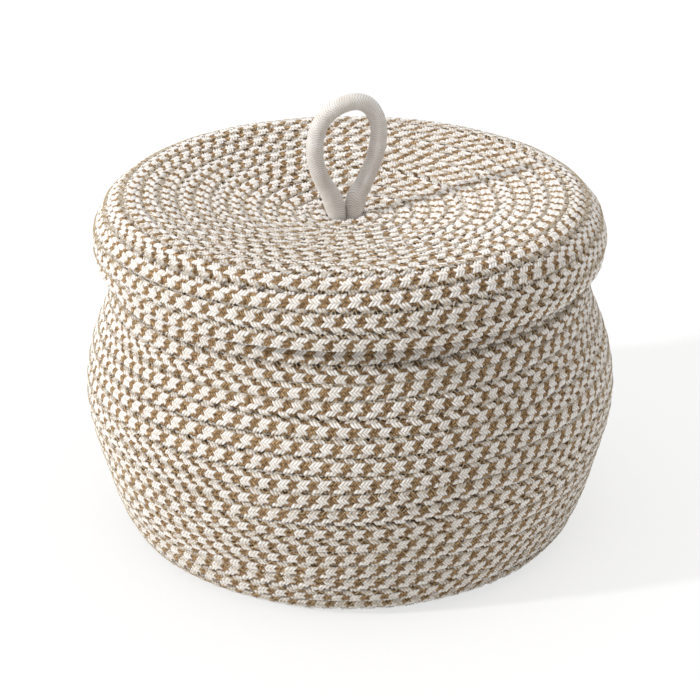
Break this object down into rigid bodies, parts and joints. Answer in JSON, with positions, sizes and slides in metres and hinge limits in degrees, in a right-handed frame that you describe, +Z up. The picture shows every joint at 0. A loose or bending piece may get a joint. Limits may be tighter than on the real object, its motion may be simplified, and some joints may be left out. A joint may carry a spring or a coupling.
{
  "type": "knitting basket",
  "caption": "Round lidded storage basket coiled from braided cotton rope, with a bulging wall, a drawn-in neck, a lift-off dished lid and a standing cord loop as its handle.",
  "frame": {"origin": "on the surface that the basket stands on, under the middle of its base", "axes": "+Z up along the basket's axis, +X to the right and -Y towards the front, which is the side that the picture shows"},
  "size_m": [0.2514, 0.249, 0.211],
  "materials": {
    "rope": "matte",
    "cord": "matte"
  },
  "bodies": {
    "basket": {"base_coil": "rope", "wall_coil": "rope"},
    "lid": {"lid_coil": "rope", "cord_tail_left": "cord", "cord_tail_right": "cord"},
    "handle": {"handle_loop": "cord"}
  },
  "joints": [
    {"name": "lid_lift", "type": "slide", "parent": "basket", "child": "lid", "axis": [0, 0, 1], "range_m": [0, 0.12]},
    {"name": "handle_tilt", "type": "hinge", "parent": "lid", "child": "handle", "pos_m": [-0.00206, -0.00011, 0.15851], "axis": [0.9397, 0.342, 0], "range_deg": [-60, 60], "stiffness_Nm_per_rad": 0.02}
  ]
}
